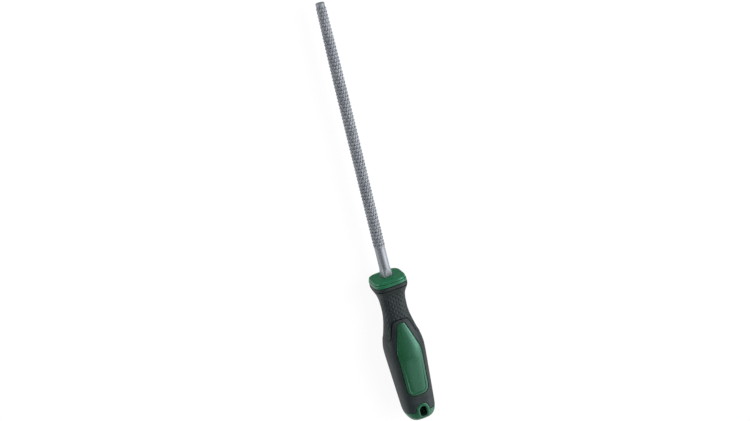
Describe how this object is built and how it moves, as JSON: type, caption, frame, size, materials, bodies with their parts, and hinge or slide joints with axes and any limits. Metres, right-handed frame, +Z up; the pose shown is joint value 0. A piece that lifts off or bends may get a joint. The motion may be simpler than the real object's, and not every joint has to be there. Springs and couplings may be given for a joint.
{
  "type": "round wood rasp",
  "caption": "Round wood rasp: a toothed steel bar with a flat tip, held by its tang in a moulded handle with a soft grip and a hang slot.",
  "frame": {"origin": "on the surface that the tool lies on, under the middle of its length and width", "axes": "+X along the tool axis towards the tip, +Z up and square to the front panel of the handle, Y across"},
  "size_m": [0.3126, 0.0286, 0.026],
  "materials": {
    "steel": "satin",
    "hard_plastic": "satin",
    "soft_plastic": "matt"
  },
  "bodies": {
    "root": {"rasp_blade": "steel", "handle_core": "hard_plastic", "soft_grip": "soft_plastic"}
  },
  "joints": []
}
